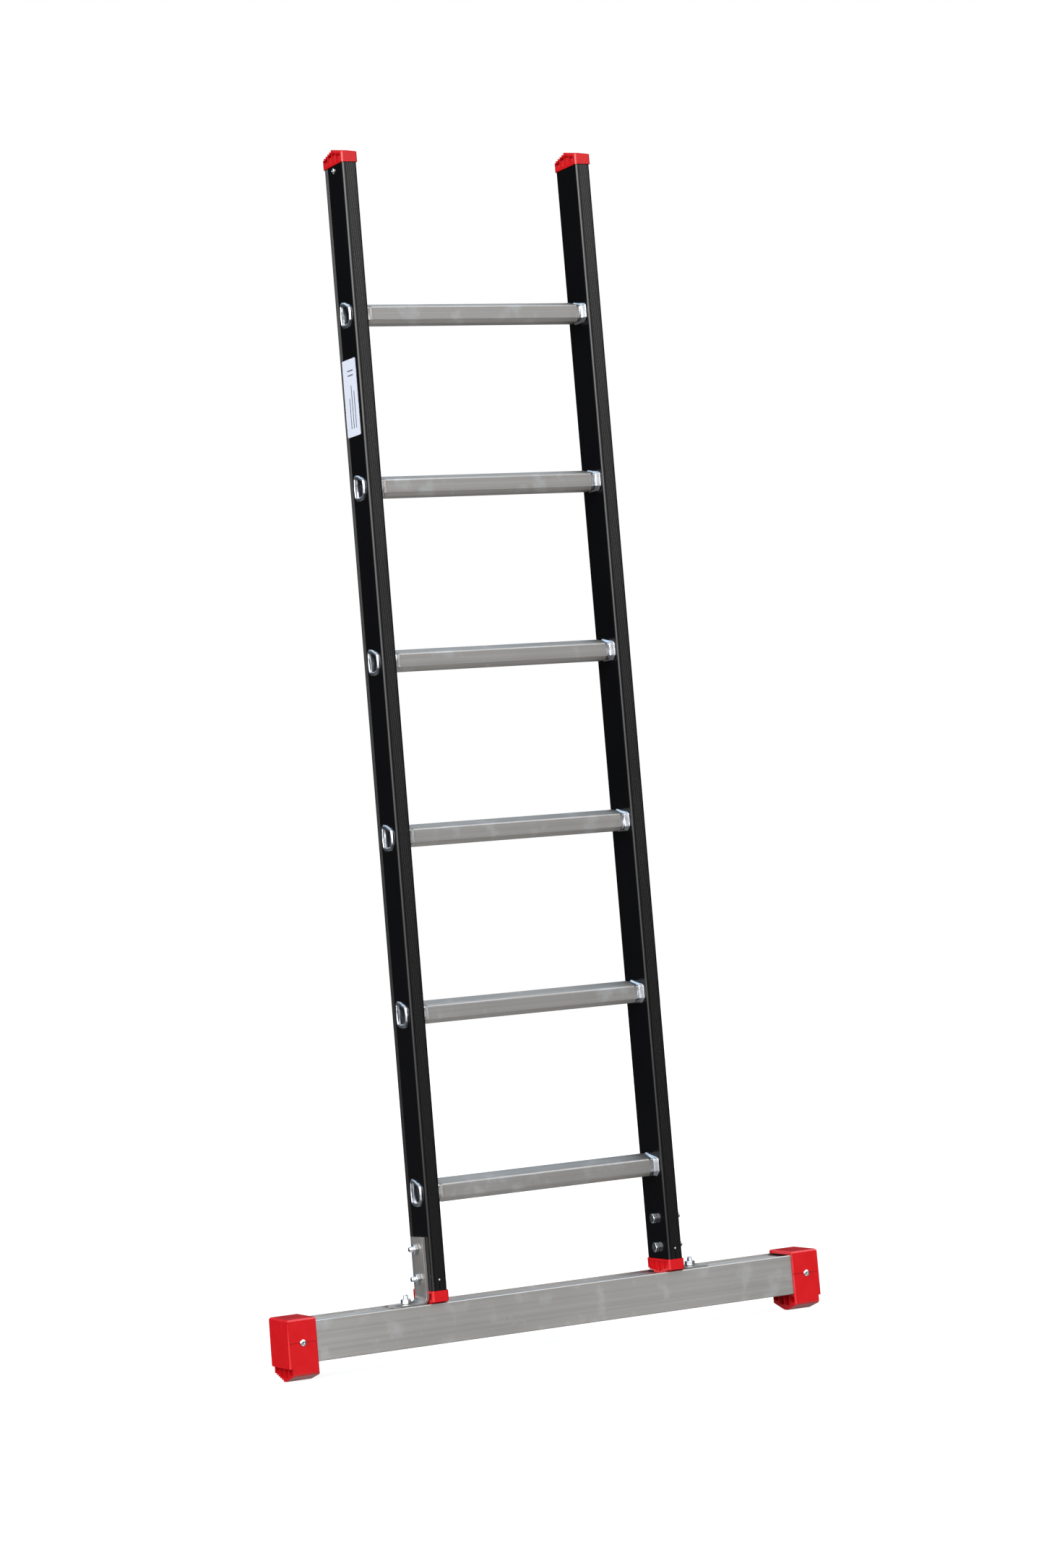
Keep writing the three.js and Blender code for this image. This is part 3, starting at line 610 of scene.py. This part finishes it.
def bolt(node, direction):
    """A hexagon bolt filling its node's box, with its point towards the direction."""
    matrix, length = along_box(node, direction)
    bm = bmesh.new()
    flip = matrix @ Matrix.Translation((0, 0, HEAD_HEIGHT)) @ Matrix.Rotation(math.pi, 4, "X")
    add_hexagon(bm, HEX_FLATS, HEAD_HEIGHT, flip, both=False)
    plain = length - HEAD_HEIGHT - THREAD_LENGTH
    shank = [(BOLT_RADIUS, HEAD_HEIGHT - 0.2), (BOLT_RADIUS, HEAD_HEIGHT + plain + 0.2)]
    add_turned(bm, shank, 24, matrix)
    add_thread(bm, BOLT_RADIUS, HEAD_HEIGHT + plain, THREAD_LENGTH, matrix)
    return finish_piece(node + "_part", bm, [ZINC], [node], 30)


def nut(node, direction):
    """A hexagon nut filling its node's box."""
    matrix, length = along_box(node, direction)
    bm = bmesh.new()
    add_hexagon(bm, HEX_FLATS, length, matrix, bore=NUT_BORE)
    return finish_piece(node + "_part", bm, [ZINC], [node], 30)


def rivet(node, direction, head, height, hole):
    """A domed rivet head, hollow where its mandrel broke off, on a plain shank."""
    matrix, length = along_box(node, direction)
    base = length - height
    rim = 0.12
    steps = 8
    profile = [
        (0.5 * head, 0), (0.5 * head, base - 0.05), (head * 0.96, base), (head, base + rim * height),
    ]
    for i in range(1, steps):
        turn = i / steps * math.pi / 2
        rise = rim + 0.88 * math.sin(turn)
        profile.append((head * math.cos(turn) ** 0.8, base + height * rise))
    profile = [p for p in profile if p[0] > hole * 1.25 or p[1] < base]
    floor_height = length - 0.9 * height
    profile += [(hole * 1.2, length), (hole, length - rim * height), (hole * 0.95, floor_height)]
    bm = bmesh.new()
    add_turned(bm, profile, 28, matrix)
    # The floor of the hollow takes the painted shade, near black.
    floor_centre = matrix @ Vector((0, 0, floor_height))
    for face in bm.faces:
        if (face.calc_center_median() - floor_centre).length < hole * MM * 0.6:
            face.material_index = 1
    return finish_piece(node + "_part", bm, [ZINC, HOLE_SHADE], [node], 45)


# ---------------------------------------------------------------- label


def label(node):
    """A film with rounded corners."""
    low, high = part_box(node)
    radius = 2.5 * MM
    steps = 6
    outline = []
    for cy, cz, start in (
        (high.y - radius, high.z - radius, 0),
        (low.y + radius, high.z - radius, 1),
        (low.y + radius, low.z + radius, 2),
        (high.y - radius, low.z + radius, 3),
    ):
        for i in range(steps + 1):
            angle = math.pi / 2 * (start + i / steps)
            outline.append((cy + radius * math.cos(angle), cz + radius * math.sin(angle)))
    bm = bmesh.new()
    sweep(bm, [[(x, y, z) for y, z in outline] for x in (high.x, low.x)], closed=False, cap_ends=True)
    return finish_piece(node + "_film", bm, [FILM], [node])


# ---------------------------------------------------------------- assembly


for number in range(1, RUNGS + 1):
    rung(f"rung_{number}", number)

for side, sign in SIDES.items():
    refined(f"stile_{side}", BLACK, 0.3 * MM, 2, chosen=is_rib_crest)
    refined(f"top_cap_{side}", RED, 0.6 * MM, 3)
    refined(f"bottom_cap_{side}", RED, 0.6 * MM, 3)
    refined(f"foot_{side}", RED, 0.9 * MM, 3)
    refined(f"bracket_{side}", STRIP_METAL, 0.5 * MM)
    for level in PLACES:
        bolt(f"stile_bolt_{side}_{level}", (sign, 0, 0))
        nut(f"stile_nut_{side}_{level}", (sign, 0, 0))
    bolt(f"bar_bolt_{side}", (0, 0, 1))
    nut(f"bar_nut_{side}", (0, 0, 1))
    rivet(f"top_cap_rivet_{side}", (sign, 0, 0), *TOP_CAP_RIVET)
    rivet(f"bottom_cap_rivet_{side}", (0, -1, 0), *BOTTOM_CAP_RIVET)
    rivet(f"foot_rivet_{side}", (0, -1, 0), *FOOT_RIVET)

refined("stabiliser_bar", BAR_METAL, 0.4 * MM)
label("rating_label")


# ---------------------------------------------------------------- stage, light and camera


def stage_floor():
    """A plain white floor that lights nothing and takes only a faint shadow."""
    size = 12
    bm = bmesh.new()
    bmesh.ops.create_grid(bm, x_segments=1, y_segments=1, size=size)
    mesh = bpy.data.meshes.new("floor")
    bm.to_mesh(mesh)
    bm.free()
    material, shader = new_material("floor")
    shader.inputs["Base Color"].default_value = (0.25, 0.25, 0.25, 1)
    shader.inputs["Roughness"].default_value = 1.0
    shader.inputs["Specular IOR Level"].default_value = 0.0
    shader.inputs["Emission Color"].default_value = (1, 1, 1, 1)
    shader.inputs["Emission Strength"].default_value = 0.88
    mesh.materials.append(material)
    floor = bpy.data.objects.new("floor", mesh)
    bpy.context.scene.collection.objects.link(floor)
    floor.visible_glossy = False
    floor.visible_diffuse = False


# Soft lights far from the ladder: where they stand in plan, the height of their middle as the
# sine of its elevation, how tall they are, how narrow in plan, peak radiance and colour.
LIGHTS = {
    "key": ((-0.86, -0.52), 0.34, 0.30, 4, 10.5, (1.0, 0.99, 0.98)),
    "front": ((0.44, -0.89), 0.55, 0.30, 4, 2.9, (1.0, 0.99, 0.97)),
    "top": ((0.50, -0.30), 0.85, 0.20, 2, 3.2, (0.84, 0.92, 1.0)),
    "back": ((0.30, 0.95), 0.43, 0.15, 10, 0.25, (0.70, 0.85, 1.0)),
    "rear": ((-0.15, 0.99), 0.72, 0.18, 2, 2.0, (0.70, 0.85, 1.0)),
    "floor_bounce": ((0.4, -0.9), -1.0, 0.6, 1, 1.1, (1.0, 0.98, 0.95)),
    "rear_bounce": ((-0.1, 1.0), -0.75, 0.32, 1, 0.9, (1.0, 0.99, 0.98)),
}
ROOM = (0.9, 0.95, 1.0)
ROOM_LEVEL = 0.025


def compute(tree, operation, *values):
    """A maths node, from numbers or sockets."""
    node = tree.nodes.new("ShaderNodeMath")
    node.operation = operation
    for socket, value in zip(node.inputs, values):
        if isinstance(value, bpy.types.NodeSocket):
            tree.links.new(value, socket)
        else:
            socket.default_value = value
    return node.outputs[0]


def add_light(tree, direction, plan, middle, tall, narrow, peak, colour):
    """A soft light as a background shader, fading away from its middle in plan and in height."""
    split = tree.nodes.new("ShaderNodeSeparateXYZ")
    tree.links.new(direction, split.inputs[0])
    x, y, z = split.outputs
    east, north = Vector(plan).normalized()
    along = compute(tree, "ADD", compute(tree, "MULTIPLY", x, east), compute(tree, "MULTIPLY", y, north))
    across = compute(tree, "SQRT", compute(tree, "SUBTRACT", 1.0, compute(tree, "MULTIPLY", z, z)))
    facing = compute(tree, "MAXIMUM", compute(tree, "DIVIDE", along, across), 0.0)
    beam = compute(tree, "POWER", facing, narrow)
    off = compute(tree, "DIVIDE", compute(tree, "SUBTRACT", z, middle), tall)
    height = compute(tree, "EXPONENT", compute(tree, "MULTIPLY", compute(tree, "MULTIPLY", off, off), -1.0))
    level = compute(tree, "MULTIPLY", compute(tree, "MULTIPLY", beam, height), peak)
    light = tree.nodes.new("ShaderNodeBackground")
    light.inputs["Color"].default_value = (*colour, 1)
    tree.links.new(level, light.inputs["Strength"])
    return light.outputs[0]


def studio():
    """White behind the ladder for the eye, and a dim room with soft lights for the ladder."""
    world = bpy.data.worlds.new("studio")
    bpy.context.scene.world = world
    world.use_nodes = True
    tree = world.node_tree
    tree.nodes.clear()
    seen = tree.nodes.new("ShaderNodeBackground")
    seen.inputs["Color"].default_value = (1, 1, 1, 1)
    room = tree.nodes.new("ShaderNodeBackground")
    room.inputs["Color"].default_value = (*ROOM, 1)
    room.inputs["Strength"].default_value = ROOM_LEVEL
    direction = tree.nodes.new("ShaderNodeTexCoord").outputs["Generated"]
    total = room.outputs[0]
    for light in LIGHTS.values():
        both = tree.nodes.new("ShaderNodeAddShader")
        tree.links.new(total, both.inputs[0])
        tree.links.new(add_light(tree, direction, *light), both.inputs[1])
        total = both.outputs[0]
    ray = tree.nodes.new("ShaderNodeLightPath")
    mix = tree.nodes.new("ShaderNodeMixShader")
    out = tree.nodes.new("ShaderNodeOutputWorld")
    tree.links.new(ray.outputs["Is Camera Ray"], mix.inputs["Fac"])
    tree.links.new(total, mix.inputs[1])
    tree.links.new(seen.outputs[0], mix.inputs[2])
    tree.links.new(mix.outputs[0], out.inputs["Surface"])


def camera():
    """A view from the left, a little below the middle, tilted by a few degrees."""
    data = bpy.data.cameras.new("camera")
    data.sensor_fit = "VERTICAL"
    data.sensor_height = 36
    data.lens = 87.44
    data.shift_y = -0.1325
    eye = bpy.data.objects.new("camera", data)
    eye.location = (-2.408, -4.944, 0.656)
    eye.rotation_mode = "XYZ"
    eye.rotation_euler = (math.radians(94.598), math.radians(4.754), math.radians(-26.038))
    bpy.context.scene.collection.objects.link(eye)
    bpy.context.scene.camera = eye


stage_floor()
studio()
camera()
bpy.context.scene.view_settings.view_transform = "Standard"
